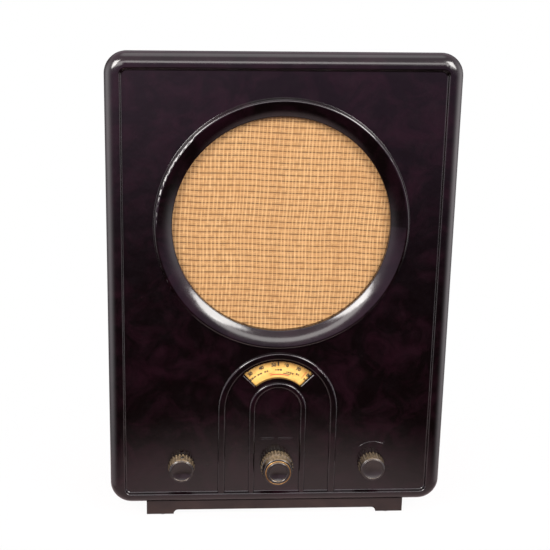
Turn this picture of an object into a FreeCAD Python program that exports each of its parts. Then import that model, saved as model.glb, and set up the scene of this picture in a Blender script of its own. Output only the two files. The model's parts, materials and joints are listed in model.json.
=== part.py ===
import FreeCAD
import Part
import math
import os
import re
import sys

import Sketcher
from FreeCAD import Placement, Rotation, Vector

sys.path.append(os.path.join(FreeCAD.getHomePath(), "Mod", "PartDesign"))
from fcgear import fcgear, involute

# A 1930s bakelite table radio: a moulded case on two low plinth bars, a round loudspeaker opening with
# a moulded bezel, a tall arch with a sector-shaped dial window, and three knobs in a row.
#
# Every drawing below is in case coordinates: x to the right, y from the rim of the front towards the
# back, z up from the underside of the case. front_y and base_z carry those into the part's own frame,
# whose origin is the middle of the footprint on the table.

DIMENSIONS = {
    # the part's frame
    "front_y": -71,
    "base_z": 13,
    # moulded case
    "case_width": 276.4,
    "case_height": 373.1,
    "case_depth": 150,
    "side_draft": 6.5,
    "top_draft": 17,
    "corner_radius": 17.5,
    "edge_round": 9.5,
    "wall": 4,
    "panel_y": 3,
    "panel_thick": 3.2,
    "panel_half": 124.8,
    "panel_low": 9.9,
    "panel_high": 358.5,
    "panel_corner": 5,
    "recess_slope": 0.3,
    "rim_round": 1.3,
    "foot_round": 1.2,
    # loudspeaker opening and its bezel
    "speaker_z": 236.7,
    "bezel_foot": 100.7,
    "bezel_crest": 98,
    "opening_radius": 86.3,
    "lip_back_y": 9,
    # arches over the dial
    "dial_z": 83.2,
    "outer_arch_out": 49,
    "outer_arch_in": 43,
    "inner_arch_out": 23.5,
    "inner_arch_in": 18.5,
    "rib_height": 1.8,
    "rib_foot_z": 7.6,
    "window_out": 41.5,
    "window_in": 26.7,
    "window_angle": 43,
    # knobs and spindles
    "knob_spacing": 79,
    "knob_z": 33.5,
    "spindle_radius": 3,
    "running_gap": 0.05,
    "panel_hole": 3.5,
    # plinth
    "plinth_half": 108,
    "plinth_foot": 22.5,
    "plinth_height": 11.8,
    "plinth_bar": 8,
    "plinth_depth": 20,
    "plinth_front_y": 6.5,
    "plinth_rear_y": 118,
    "stud_height": 1.2,
    "stud_radius": 2.8,
    "stud_inset": 4,
    "stud_x": 94.5,
    # rear cover
    "cover_y": 146,
    "cover_thick": 2.5,
    "cover_gap": 0.6,
    "cover_screw_x": 121.5,
    # baffle, cloth and loudspeaker
    "cloth_y": 9.1,
    "cloth_thick": 0.6,
    "cloth_radius": 103,
    "board_y": 9.8,
    "board_thick": 6,
    "board_half": 106,
    "board_hole": 82,
    "board_screw": 97,
    # chassis
    "chassis_half": 100,
    "chassis_front": 25,
    "chassis_back": 137,
    "deck_z": 62,
    "sheet_steel": 1.5,
    "flange_width": 12,
    # dial drive
    "gear_module": 0.9,
    "dial_teeth": 88,
    "pinion_teeth": 22,
    "scale_y": 7.4,
    "scale_radius": 43.5,
    "gear_y": 9.6,
    "gear_thick": 2.5,
    # tuning capacitor
    "capacitor_front": 27,
    "capacitor_back": 70,
    "plate_pitch": 2.8,
    "plate_thick": 0.8,
    "plate_count": 11,
    "rotor_radius": 16.5,
}

doc = FreeCAD.newDocument("TableRadio")
sheet = doc.addObject("Spreadsheet::Sheet", "Dimensions")
for row, (alias, number) in enumerate(DIMENSIONS.items(), start=1):
    sheet.set(f"A{row}", alias)
    sheet.set(f"B{row}", str(number))
    sheet.setAlias(f"B{row}", alias)
doc.recompute()

SUBPARTS = []
AXIS_TURNS = {"x": Rotation(Vector(0, 1, 0), 90), "y": Rotation(Vector(1, 0, 0), -90), "z": Rotation()}


# ---------------------------------------------------------------- expressions and bookkeeping


def ref(text):
    """The text with each dimension's alias spelled as a cell of the sheet."""
    return re.sub(r"[a-z_]+", lambda m: f"Dimensions.{m[0]}" if m[0] in DIMENSIONS else m[0], str(text))


def value(text):
    """The number that an expression gives."""
    return float(sheet.evalExpression(ref(text)))


def bind(obj, prop, text):
    obj.setExpression(prop, ref(text))


def unique(name):
    """A name that no object has yet."""
    number = 1
    while doc.getObject(f"{name}_{number}"):
        number += 1
    return f"{name}_{number}"


def keep(obj, name):
    """Makes an object a sub-part, whose label names its file."""
    obj.Label = name
    SUBPARTS.append(obj)
    return obj


def place(obj, x, y, z, turn=Rotation()):
    """Puts a primitive at a place given in case coordinates."""
    obj.Placement = Placement(Vector(), turn)
    bind(obj, "Placement.Base.x", x)
    bind(obj, "Placement.Base.y", f"front_y + {y}")
    bind(obj, "Placement.Base.z", f"base_z + {z}")


# ---------------------------------------------------------------- primitives and booleans


def cylinder(name, radius, length, x, y, z, axis="y"):
    obj = doc.addObject("Part::Cylinder", unique(name))
    bind(obj, "Radius", radius)
    bind(obj, "Height", length)
    place(obj, x, y, z, AXIS_TURNS[axis])
    return obj


def cone(name, radius, end_radius, length, x, y, z, axis="y"):
    obj = doc.addObject("Part::Cone", unique(name))
    bind(obj, "Radius1", radius)
    bind(obj, "Radius2", end_radius)
    bind(obj, "Height", length)
    place(obj, x, y, z, AXIS_TURNS[axis])
    return obj


def block(name, xs, ys, zs):
    """A box between two x, two y and two z values."""
    obj = doc.addObject("Part::Box", unique(name))
    bind(obj, "Length", f"({xs[1]}) - ({xs[0]})")
    bind(obj, "Width", f"({ys[1]}) - ({ys[0]})")
    bind(obj, "Height", f"({zs[1]}) - ({zs[0]})")
    place(obj, xs[0], ys[0], zs[0])
    return obj


def fuse(name, items):
    obj = doc.addObject("Part::MultiFuse", unique(name))
    obj.Shapes = items
    return obj


def group(name, items):
    """Separate solids that share one node."""
    obj = doc.addObject("Part::Compound", unique(name))
    obj.Links = items
    return obj


def cut(name, base, tools):
    obj = doc.addObject("Part::Cut", unique(name))
    obj.Base = base
    obj.Tool = tools[0] if len(tools) == 1 else fuse(f"{name}_tools", tools)
    return obj


def tube(name, radius, bore, length, x, y, z, axis="y"):
    outer = cylinder(f"{name}_outer", radius, length, x, y, z, axis)
    inner = cylinder(f"{name}_bore", bore, length, x, y, z, axis)
    return cut(name, outer, [inner])


# ---------------------------------------------------------------- bodies and sketches


def new_body(name):
    body = doc.addObject("PartDesign::Body", unique(name))
    bind(body, "Placement.Base.y", "front_y")
    bind(body, "Placement.Base.z", "base_z")
    return body


def new_sketch(body, plane, shift=(0, 0, 0)):
    """A sketch on one of the body's origin planes, moved by shift in the plane's own axes."""
    sketch = body.newObject("Sketcher::SketchObject", unique("sketch"))
    support = [item for item in body.Origin.OriginFeatures if item.Role == plane][0]
    sketch.AttachmentSupport = [(support, "")]
    sketch.MapMode = "FlatFace"
    for letter, text in zip("xyz", shift):
        bind(sketch, f"AttachmentOffset.Base.{letter}", text)
    return sketch


def arc_through(start, middle, end):
    """A sketch arc through three points, and whether it runs anticlockwise."""
    circle = Part.Arc(start, middle, end).toShape().Curve
    centre = Vector(circle.Center)
    turn = (middle - start).cross(end - middle).z
    first, last = (start, end) if turn > 0 else (end, start)
    angles = [math.atan2(p.y - centre.y, p.x - centre.x) for p in (first, last)]
    full = Part.Circle(centre, Vector(0, 0, 1), circle.Radius)
    return Part.ArcOfCircle(full, angles[0], angles[1]), turn > 0


def outline(sketch, points):
    """Draws one closed outline. A point is (x, y), or (x, y, middle x, middle y) where an arc ends."""
    places = [Vector(value(p[0]), value(p[1]), 0) for p in points]
    first = sketch.GeometryCount
    ends = []
    for i, start in enumerate(places):
        target = points[(i + 1) % len(points)]
        end = places[(i + 1) % len(points)]
        if len(target) == 4:
            curve, forward = arc_through(start, Vector(value(target[2]), value(target[3]), 0), end)
            sketch.addGeometry(curve, False)
            ends.append((1, 2) if forward else (2, 1))
        else:
            sketch.addGeometry(Part.LineSegment(start, end), False)
            ends.append((1, 2))
    rules = []
    texts = []
    for i, place_now in enumerate(places):
        here = first + i
        before = first + (i - 1) % len(places)
        rules.append(Sketcher.Constraint("Coincident", before, ends[i - 1][1], here, ends[i][0]))
        texts.append(None)
        for kind, number, text in zip(("DistanceX", "DistanceY"), (place_now.x, place_now.y), points[i]):
            rules.append(Sketcher.Constraint(kind, -1, 1, here, ends[i][0], number))
            texts.append(text)
        curve = sketch.Geometry[here]
        if hasattr(curve, "Radius"):
            chord = places[(i + 1) % len(places)] - place_now
            level = abs(chord.x) >= abs(chord.y)
            kind, number = ("DistanceY", curve.Center.y) if level else ("DistanceX", curve.Center.x)
            rules.append(Sketcher.Constraint(kind, -1, 1, here, 3, number))
            texts.append(None)
    bind_rules(sketch, rules, texts)


def circles(sketch, items):
    """Draws circles, each (x, y, radius)."""
    rules = []
    texts = []
    for x, y, radius in items:
        here = sketch.GeometryCount
        centre = Vector(value(x), value(y), 0)
        sketch.addGeometry(Part.Circle(centre, Vector(0, 0, 1), value(radius)), False)
        rules.append(Sketcher.Constraint("DistanceX", -1, 1, here, 3, centre.x))
        rules.append(Sketcher.Constraint("DistanceY", -1, 1, here, 3, centre.y))
        rules.append(Sketcher.Constraint("Radius", here, value(radius)))
        texts += [x, y, radius]
    bind_rules(sketch, rules, texts)


def bind_rules(sketch, rules, texts):
    numbers = sketch.addConstraint(rules)
    for number, text in zip(numbers, texts):
        if text is not None and re.search("[a-z]", str(text)):
            sketch.setExpression(f"Constraints[{number}]", ref(text))


def turned(name, points, x=0, z=0, y=None):
    """A solid of revolution from points (radius, height): about a y axis, or a z axis where y is given."""
    body = new_body(name)
    plane, shift = ("XY_Plane", (x, 0, z)) if y is None else ("XZ_Plane", (x, z, f"-({y})"))
    sketch = new_sketch(body, plane, shift)
    outline(sketch, points)
    feature = body.newObject("PartDesign::Revolution", unique(f"{name}_turn"))
    feature.Profile = sketch
    feature.ReferenceAxis = (sketch, ["V_Axis"])
    feature.Angle = 360
    return body


def to_axis(radius, rim, apex):
    """The outline point where a spherical dish or dome that starts at a rim meets its axis."""
    centre = (radius**2 + rim**2 - apex**2) / (2 * (rim - apex))
    reach = apex - centre
    half = math.atan2(radius, (rim - centre) * math.copysign(1, reach)) / 2
    return 0, apex, abs(reach) * math.sin(half), centre + reach * math.cos(half)


def plate(name, points, y, thickness, holes=(), rounded=None):
    """A flat piece parallel to the front, from an outline in x and z, with round holes."""
    body = new_body(name)
    sketch = new_sketch(body, "XZ_Plane", (0, 0, f"-({y})"))
    outline(sketch, points)
    if holes:
        circles(sketch, holes)
    pad = body.newObject("PartDesign::Pad", unique(f"{name}_pad"))
    pad.Profile = sketch
    bind(pad, "Length", thickness)
    pad.Reversed = True
    if rounded:
        doc.recompute()
        round_edges(body, pad, rounded[0], rounded[1])
    return body


def round_edges(body, feature, radius, test, kind="Fillet"):
    """Adds a fillet or chamfer on the edges that pass a test."""
    names = [f"Edge{i}" for i, edge in enumerate(feature.Shape.Edges, start=1) if test(edge)]
    result = body.newObject(f"PartDesign::{kind}", unique(kind.lower()))
    result.Base = (feature, names)
    bind(result, "Radius" if kind == "Fillet" else "Size", radius)
    doc.recompute()
    return result


def along_y(edge, shortest=1.0):
    """Whether an edge runs from front to back."""
    spread = [v.Y for v in edge.Vertexes]
    return len(spread) == 2 and abs(spread[0] - spread[1]) > shortest


def at_y(edge, y):
    """Whether an edge lies in the plane at a given depth."""
    box = edge.BoundBox
    return abs(box.YMin - y) < 1e-4 and abs(box.YMax - y) < 1e-4


def rectangle(x_low, x_high, z_low, z_high):
    return [(x_low, z_low), (x_high, z_low), (x_high, z_high), (x_low, z_high)]


def wedge(name, front, back, ys):
    """A block between a rectangle at the front and one at the back, each (x half, z low, z high)."""
    body = new_body(name)
    solid = body.newObject("PartDesign::AdditiveWedge", unique(f"{name}_wedge"))
    bind(solid, "Xmin", f"-({front[0]})")
    bind(solid, "Xmax", front[0])
    bind(solid, "Zmin", front[1])
    bind(solid, "Zmax", front[2])
    bind(solid, "X2min", f"-({back[0]})")
    bind(solid, "X2max", back[0])
    bind(solid, "Z2min", back[1])
    bind(solid, "Z2max", back[2])
    bind(solid, "Ymin", ys[0])
    bind(solid, "Ymax", ys[1])
    doc.recompute()
    return body, solid


def turn_copies(body, feature, count):
    """Repeats a feature around its sketch's normal axis."""
    pattern = body.newObject("PartDesign::PolarPattern", unique("around"))
    pattern.Originals = [feature]
    pattern.Axis = (feature.Profile[0], ["N_Axis"])
    pattern.Angle = 360
    pattern.Occurrences = count
    body.Tip = pattern
    return pattern


# ---------------------------------------------------------------- moulded case


def arch_rib(name, outer, inner):
    """A moulded bead that runs up, over an arch round the dial's centre and down again."""
    points = [
        (f"-{outer}", "rib_foot_z"),
        (f"-{inner}", "rib_foot_z"),
        (f"-{inner}", "dial_z"),
        (inner, "dial_z", 0, f"dial_z + {inner}"),
        (inner, "rib_foot_z"),
        (outer, "rib_foot_z"),
        (outer, "dial_z"),
        (f"-{outer}", "dial_z", 0, f"dial_z + {outer}"),
    ]
    top = value("panel_y - rib_height")
    test = lambda edge: at_y(edge, top)
    return plate(name, points, "panel_y - rib_height", "rib_height + 1", rounded=("rib_height - 0.2", test))


def polar(radius, angle):
    """The x and z expressions of a point round the dial's centre, at an angle from straight up."""
    return f"({radius}) * sin({angle})", f"dial_z + ({radius}) * cos({angle})"


def dial_window():
    """The sector-shaped opening over the dial, with bevelled ends."""
    side = "window_angle"
    points = [
        polar("window_in", f"-{side}"),
        polar("window_in", side) + polar("window_in", 0),
        polar("window_out", side),
        polar("window_out", f"-{side}") + polar("window_out", 0),
    ]
    straight = plate("window", points, "panel_y - 1", "wall + 2")
    bevel = [
        polar("window_in + 0.3", f"-({side} + 2.4)"),
        polar("window_in + 0.3", f"{side} + 2.4") + polar("window_in + 0.3", 0),
        polar("window_out - 0.3", f"{side} + 2.4"),
        polar("window_out - 0.3", f"-({side} + 2.4)") + polar("window_out - 0.3", 0),
    ]
    depth = value("panel_y + 1.1")
    test = lambda edge: at_y(edge, depth) and isinstance(edge.Curve, Part.Line)
    return [straight, plate("window_bevel", bevel, "panel_y - 1", 2.1, rounded=(1.1, test))]


def case_outside():
    """The case's outer form, with the recess of the front panel inside a rounded rim."""
    body, solid = wedge(
        "case_outside",
        ("case_width / 2", 0, "case_height"),
        ("case_width / 2 - side_draft", 0, "case_height - top_draft"),
        (0, "case_depth"),
    )
    sides = round_edges(body, solid, "corner_radius", along_y)
    round_edges(body, sides, "edge_round", lambda edge: at_y(edge, 0))
    recessed = cut("recessed_case", body, [panel_recess()])
    doc.recompute()
    numbers = [i for i, edge in enumerate(recessed.Shape.Edges, start=1) if on_rim(edge)]
    rounded = doc.addObject("Part::Fillet", unique("rim_fillet"))
    rounded.Base = recessed
    rounded.Edges = [(i, value("rim_round"), value("rim_round")) for i in numbers]
    return rounded


def on_rim(edge):
    """Whether an edge belongs to the inner edge of the rim, where the recess meets the front."""
    box = edge.BoundBox
    spread = "recess_slope * panel_y + 0.2"
    inside = box.XMax < value(f"panel_half + {spread}") and box.XMin > -value(f"panel_half + {spread}")
    low, high = value(f"panel_low - ({spread})"), value(f"panel_high + {spread}")
    return inside and box.YMax < 1 and low < box.ZMin and box.ZMax < high


def case_inside():
    body, solid = wedge(
        "case_inside",
        ("case_width / 2 - wall", "wall", "case_height - wall"),
        ("case_width / 2 - side_draft - wall", "wall", "case_height - top_draft - wall"),
        ("panel_y + panel_thick", "case_depth"),
    )
    round_edges(body, solid, "corner_radius - wall", along_y)
    return body


def panel_recess():
    flare = "recess_slope * (panel_y + 1)"
    body, solid = wedge(
        "panel_recess",
        (f"panel_half + {flare}", f"panel_low - {flare}", f"panel_high + {flare}"),
        ("panel_half", "panel_low", "panel_high"),
        (-1, "panel_y"),
    )
    corners = round_edges(body, solid, "panel_corner", along_y)
    round_edges(body, corners, "foot_round", lambda edge: at_y(edge, value("panel_y")))
    return body


def bezel():
    """The loudspeaker bezel: a steep outer side, a rounded crest and a full curve down to the lip."""
    points = [
        ("opening_radius", "lip_back_y"),
        ("opening_radius", 4.9),
        ("opening_radius + 0.7", 4, "opening_radius + 0.15", 4.3),
        ("bezel_crest", -0.9, "bezel_crest - 5.8", 0.87),
        ("bezel_foot", 1.2, "bezel_foot - 0.65", -0.3),
        ("bezel_foot + 0.15", "panel_y - 0.7"),
        ("bezel_foot + 0.9", "panel_y + 0.05", "bezel_foot + 0.37", "panel_y - 0.17"),
        ("bezel_foot + 0.9", "panel_y + 2"),
        ("bezel_foot + 4", "panel_y + 2"),
        ("bezel_foot + 4", "lip_back_y"),
    ]
    return turned("bezel", points, 0, "speaker_z")


def corner_places(half_x, low, high):
    """The four combinations of side and height."""
    return [(f"{side} * {half_x}", z) for side in (-1, 1) for z in (low, high)]


BOARD_SCREWS = corner_places("board_screw", "speaker_z - board_screw", "speaker_z + board_screw")
COVER_SCREWS = corner_places("cover_screw_x", 44, 322)
CHASSIS_SCREWS = [(f"{side} * (chassis_half + flange_width / 2)", y) for side in (-1, 1) for y in (50, 110)]
PLINTH_SCREWS = [
    (f"{side} * 60", f"{front} + plinth_depth / 2")
    for side in (-1, 1)
    for front in ("plinth_front_y", "plinth_rear_y")
]
KNOB_PLACES = {"band": "-knob_spacing", "tuning": "0", "feedback": "knob_spacing"}


def cabinet_shell():
    opening = cylinder("speaker_opening", "bezel_crest - 4", 20, 0, -5, "speaker_z")
    hollow = cut("hollow_case", case_outside(), [case_inside(), panel_recess(), opening])
    ribs = [
        arch_rib("outer_rib", "outer_arch_out", "outer_arch_in"),
        arch_rib("inner_rib", "inner_arch_out", "inner_arch_in"),
    ]
    bosses = [cylinder("board_boss", 5, "board_y - 5", x, 5, z) for x, z in BOARD_SCREWS]
    bosses += [cylinder("cover_boss", 6.5, 30, x, "cover_y - 30", z) for x, z in COVER_SCREWS]
    solid = fuse("case_solid", [hollow, bezel()] + ribs + bosses)
    holes = [cylinder("knob_hole", "panel_hole", 12, x, -2, "knob_z") for x in KNOB_PLACES.values()]
    holes += [cylinder("pilot", 1.55, 6, x, "board_y - 6 + 2", z) for x, z in BOARD_SCREWS]
    holes += [cylinder("pilot", 1.55, 16, x, "cover_y - 12", z) for x, z in COVER_SCREWS]
    holes += [cylinder("floor_hole", 2.1, "wall + 2", x, y, -1, "z") for x, y in CHASSIS_SCREWS]
    holes += [cylinder("floor_pilot", 1.55, "wall + 2", x, y, -1, "z") for x, y in PLINTH_SCREWS]
    keep(cut("cabinet_shell", solid, holes + dial_window()), "cabinet_shell")


# ---------------------------------------------------------------- plinth


def plinth_bar(name, front):
    """A bar with a foot at each end, hollowed by a small cove where the foot meets the bar."""
    cove = "(plinth_height - plinth_bar)"
    inner = "(plinth_half - plinth_foot)"
    middle = f"({inner} - 0.3 * {cove})"
    points = [
        ("-plinth_half", 0),
        ("-plinth_half", "-plinth_height"),
        (f"-{inner}", "-plinth_height"),
        (f"-({inner} - {cove})", "-plinth_bar", f"-{middle}", f"-plinth_height + 0.7 * {cove}"),
        (f"{inner} - {cove}", "-plinth_bar"),
        (inner, "-plinth_height", middle, f"-plinth_height + 0.7 * {cove}"),
        ("plinth_half", "-plinth_height"),
        ("plinth_half", 0),
    ]
    bar = plate(f"{name}_bar", points, front, "plinth_depth")
    holes = []
    for x, y in PLINTH_SCREWS:
        if front in y:
            holes.append(cylinder("screw_way", 1.55, 20, x, y, -15, "z"))
            holes.append(cylinder("screw_head_way", 3.1, 4, x, y, "-plinth_bar - 2", "z"))
    for side in (-1, 1):
        place_x = f"{side} * stud_x"
        holes.append(cylinder("stud_way", 1.5, 7, place_x, f"{front} + stud_inset", "-plinth_height", "z"))
    keep(cut(name, bar, holes), name)


def foot_studs():
    """Round-headed studs under the four feet, which the radio stands on."""
    studs = []
    for side in (-1, 1):
        for front in ("plinth_front_y", "plinth_rear_y"):
            spot = (f"{side} * stud_x", f"{front} + stud_inset")
            head = cone("stud_head", "stud_radius - 0.6", "stud_radius", "stud_height", *spot, "-base_z", "z")
            stem = cylinder("stud_stem", 1.45, 6.5, *spot, "-plinth_height - 0.2", "z")
            studs.append(fuse("stud", [head, stem]))
    keep(group("foot_studs", studs), "foot_studs")


def plinth_screws():
    screws = []
    for x, y in PLINTH_SCREWS:
        head = cylinder("screw_head", 3, 1.8, x, y, "-plinth_bar + 0.1", "z")
        shank = cylinder("screw_shank", 1.5, "plinth_bar + 2", x, y, "-plinth_bar + 1", "z")
        screws.append(fuse("plinth_screw", [head, shank]))
    keep(group("plinth_screws", screws), "plinth_screws")


# ---------------------------------------------------------------- rear cover

COVER_VENTS = [(17 * i, 236 + 17 * k) for i in range(-4, 5) for k in range(-4, 5) if math.hypot(i, k) < 4.6]
TUBE_VENTS = [(22 * i, 112 + 14 * k) for i in range(-4, 5) for k in range(2)]
SWITCH_X = 58
GLAND_X = 84
TERMINAL_Z = 31
SOCKET_XS = [-66 + 14 * k for k in range(4)]


def rear_cover():
    """The pressed-board back: vent holes, and holes for the sockets, switch and gland."""
    half = "case_width / 2 - side_draft - wall - cover_gap"
    top = "case_height - top_draft - wall - cover_gap"
    holes = [(x, z, 3.2) for x, z in COVER_VENTS]
    holes += [(x, z, 2.6) for x, z in TUBE_VENTS]
    holes += [(x, z, 1.8) for x, z in COVER_SCREWS]
    holes += [(x, TERMINAL_Z, 5.2) for x in SOCKET_XS]
    holes += [(SWITCH_X, TERMINAL_Z, 6.3), (GLAND_X, TERMINAL_Z, 6.6)]
    outer = rectangle(f"-({half})", half, "wall + cover_gap", top)
    corners = ("corner_radius - wall", along_y_long)
    keep(plate("rear_cover", outer, "cover_y", "cover_thick", holes, corners), "rear_cover")


def along_y_long(edge):
    """Whether an edge is one of the cover's four outer corners."""
    return along_y(edge) and abs(edge.Vertexes[0].X) > 100


def rear_cover_screws():
    screws = []
    for x, z in COVER_SCREWS:
        head = cylinder("screw_head", 3.6, 1.6, x, "cover_y + cover_thick", z)
        shank = cylinder("screw_shank", 1.5, 13, x, "cover_y + cover_thick - 12.5", z)
        slot = block(
            "screw_slot",
            (f"{x} - 5", f"{x} + 5"),
            ("cover_y + cover_thick + 1", "cover_y + cover_thick + 3"),
            (f"{z} - 0.4", f"{z} + 0.4"),
        )
        screws.append(cut("cover_screw", fuse("cover_screw_blank", [head, shank]), [slot]))
    keep(group("rear_cover_screws", screws), "rear_cover_screws")


# ---------------------------------------------------------------- baffle, cloth and loudspeaker

BASKET_SCREWS = [(91 * math.sin(a), 91 * math.cos(a)) for a in (math.pi / 4 * k for k in (1, 3, 5, 7))]


def baffle_board():
    holes = [(0, "speaker_z", "board_hole")] + [(x, z, 1.8) for x, z in BOARD_SCREWS]
    holes += [(round(x, 3), f"speaker_z + {z:.3f}", 1.3) for x, z in BASKET_SCREWS]
    outer = rectangle("-board_half", "board_half", "speaker_z - board_half", "speaker_z + board_half")
    keep(plate("baffle_board", outer, "board_y", "board_thick", holes), "baffle_board")


def board_screws():
    """Round-head screws that hold the board to the case and the basket to the board."""
    screws = []
    back = "board_y + board_thick"
    for x, z in BOARD_SCREWS:
        head = cylinder("screw_head", 3.3, 2, x, back, z)
        screws.append(fuse("board_screw", [head, cylinder("screw_shank", 1.5, 8.5, x, f"{back} - 8", z)]))
    for x, z in BASKET_SCREWS:
        spot = (f"{x:.3f}", f"{back} + sheet_steel", f"speaker_z + {z:.3f}")
        head = cylinder("screw_head", 2.8, 1.8, *spot)
        shank = cylinder("screw_shank", 1.25, 6.5, spot[0], f"{back} + sheet_steel - 6", spot[2])
        screws.append(fuse("basket_screw", [head, shank]))
    keep(group("board_screws", screws), "board_screws")


def speaker_cloth():
    disc = cylinder("speaker_cloth", "cloth_radius", "cloth_thick", 0, "cloth_y", "speaker_z")
    keep(disc, "speaker_cloth")


def speaker_basket():
    """A pressed steel basket: a flange, a conical wall with six windows and a rear plate."""
    flange = "board_y + board_thick"
    points = [
        (98, flange),
        (98, f"{flange} + sheet_steel"),
        (85.5, f"{flange} + sheet_steel"),
        (35.2, 62),
        (9, 62),
        (9, 60.5),
        (34.2, 60.5),
        (83.6, f"{flange} + sheet_steel - 0.2"),
        (83.6, flange),
    ]
    wall = turned("basket_wall", points, 0, "speaker_z")
    windows = []
    for k in range(6):
        window = doc.addObject("Part::Box", unique("basket_window"))
        window.Length, window.Width, window.Height = 30, 34, 33
        turn = Rotation(Vector(0, 1, 0), 60 * k)
        corner = turn.multVec(Vector(-15, 0, 43))
        place(window, corner.x, f"21 + {corner.y:.4f}", f"speaker_z + {corner.z:.6f}", turn)
        windows.append(window)
    holes = [
        cylinder("basket_hole", 1.4, 6, f"{x:.3f}", flange + " - 2", f"speaker_z + {z:.3f}")
        for x, z in BASKET_SCREWS
    ]
    keep(cut("speaker_basket", wall, windows + holes), "speaker_basket")


def speaker_motor():
    """A horseshoe magnet, pole pieces and coil round the drive rod, behind the basket."""
    arch = [
        (-42, "speaker_z - 26"),
        (-26, "speaker_z - 26"),
        (-26, "speaker_z"),
        (26, "speaker_z", 0, "speaker_z + 26"),
        (26, "speaker_z - 26"),
        (42, "speaker_z - 26"),
        (42, "speaker_z"),
        (-42, "speaker_z", 0, "speaker_z + 42"),
    ]
    test = lambda edge: at_y(edge, value(62.2)) or at_y(edge, value(82.2))
    keep(plate("speaker_magnet", arch, 62.2, 20, rounded=(1.2, test)), "speaker_magnet")
    poles = [
        block("pole", (17, 26), (66, 79), ("speaker_z - 14", "speaker_z")),
        block("pole", (-26, -17), (66, 79), ("speaker_z - 14", "speaker_z")),
    ]
    keep(group("pole_pieces", poles), "pole_pieces")
    bobbin = [tube("bobbin_side", 16.5, 5, 1.2, 0, 62.2, "speaker_z")]
    bobbin.append(tube("bobbin_side", 16.5, 5, 1.2, 0, 81, "speaker_z"))
    bobbin.append(tube("bobbin_core", 6.5, 5, 20, 0, 62.2, "speaker_z"))
    bobbin.append(tube("winding", 14, 6.5, 16, 0, 64.3, "speaker_z"))
    keep(fuse("speaker_coil", bobbin), "speaker_coil")


def speaker_moving_parts():
    """The paper cone, its drive rod and the soft surround that centres it."""
    points = [
        (72, 18.2),
        (73.4, 18.2),
        (73.4, 19),
        (72.4, 19.2),
        (11, 51),
        (2.5, 51),
        (2.5, 50.2),
        (10.6, 50.2),
        (71.6, 18.9),
    ]
    keep(turned("speaker_cone", points, 0, "speaker_z"), "speaker_cone")
    rod = [cylinder("rod", 1.5, 38, 0, 49, "speaker_z"), cylinder("rod_nut", 3, 1.2, 0, 51.1, "speaker_z")]
    keep(fuse("drive_rod", rod), "drive_rod")
    ring = [
        (71.5, 16.2),
        (83.5, 16.2),
        (83.5, 16.9),
        (80, 16.9),
        (71.5, 16.9),
    ]
    keep(turned("speaker_surround", ring, 0, "speaker_z"), "speaker_surround")


# ---------------------------------------------------------------- knobs and spindles


def fluted_rim(body, x, y, length, rim, depth, count):
    """Cuts grip flutes round a knob."""
    sketch = new_sketch(body, "XZ_Plane", (x, "knob_z", f"-({y})"))
    circles(sketch, [(0, f"{rim} + 0.35", 0.85)])
    pocket = body.newObject("PartDesign::Pocket", unique("flute"))
    pocket.Profile = sketch
    bind(pocket, "Length", length)
    pocket.Reversed = True
    doc.recompute()
    turn_copies(body, pocket, count)
    doc.recompute()


def knob(name, x, profile, flutes, spindle_end, screw_y, screw_angle):
    """A moulded knob on a spindle, held by a grub screw in its rim."""
    body = turned(f"{name}_blank", profile, x, "knob_z")
    doc.recompute()
    before = body.Shape.Volume
    fluted_rim(body, x, *flutes)
    if not 0 < before - body.Shape.Volume < before * 0.1:
        raise RuntimeError(f"the flutes of {name} cut {before - body.Shape.Volume:.1f} cubic mm")
    bore = cylinder(f"{name}_bore", "spindle_radius + 0.02", 9, x, -6, "knob_z")
    turn = Rotation(Vector(0, 1, 0), screw_angle)
    way = doc.addObject("Part::Cylinder", unique(f"{name}_screw_way"))
    way.Radius, way.Height = 1.6, 14
    place(way, x, screw_y, "knob_z", turn)
    keep(cut(name, body, [bore, way]), name)
    screw = doc.addObject("Part::Cylinder", unique(f"{name}_screw_blank"))
    screw.Radius, screw.Height = 1.5, 6
    start = turn.multVec(Vector(0, 0, value("spindle_radius") + 0.05))
    place(screw, f"{x} + {start.x:.5f}", screw_y, f"knob_z + {start.z:.5f}", turn)
    keep(screw, f"{name}_screw")
    length = f"{spindle_end} + 5.8"
    keep(cylinder(f"{name}_spindle", "spindle_radius", length, x, -5.8, "knob_z"), f"{name}_spindle")


def side_knob_profile():
    """Radius and depth: a fluted rim that tapers forward to a raised ring round a dished face."""
    return [
        (0, 2.3),
        (11, 2.3),
        (11, 0.4),
        (10.2, -6.8),
        (9, -8.6, 9.8, -8.1),
        (7.9, -8.6, 8.45, -9),
        to_axis(7.9, -8.6, -6.9),
    ]


def tuning_knob_profile():
    """Radius and depth: a fluted skirt, a smooth barrel, a flat seat for the ring and a dished face."""
    return [
        (0, 2.3),
        (13.4, 2.3),
        (13.4, -4.8),
        (12.4, -6),
        (12, -10.8),
        (10.5, -12.5, 11.65, -12.1),
        (10.5, -11.2),
        (9.5, -11.2),
        (9.5, -13.2),
        (7.2, -12.9, 8.4, -14),
        to_axis(7.2, -12.9, -11.2),
    ]


def knobs():
    side = side_knob_profile()
    side_flutes = (2.4, 9.4, 10.4, 0.5, 24)
    knob("band_knob", KNOB_PLACES["band"], side, side_flutes, 44, -3.2, 4)
    knob("feedback_knob", KNOB_PLACES["feedback"], side, side_flutes, 44, -3.2, 75)
    centre_flutes = (2.4, 8, 13.1, 0.5, 30)
    knob("tuning_knob", KNOB_PLACES["tuning"], tuning_knob_profile(), centre_flutes, 29, -2.2, 130)
    ring = [(9.55, -11.25), (10.45, -11.25), (10.45, -12.9), (9.55, -12.9, 10, -13.25)]
    keep(turned("tuning_knob_ring", ring, 0, "knob_z"), "tuning_knob_ring")


# ---------------------------------------------------------------- dial drive


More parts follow.
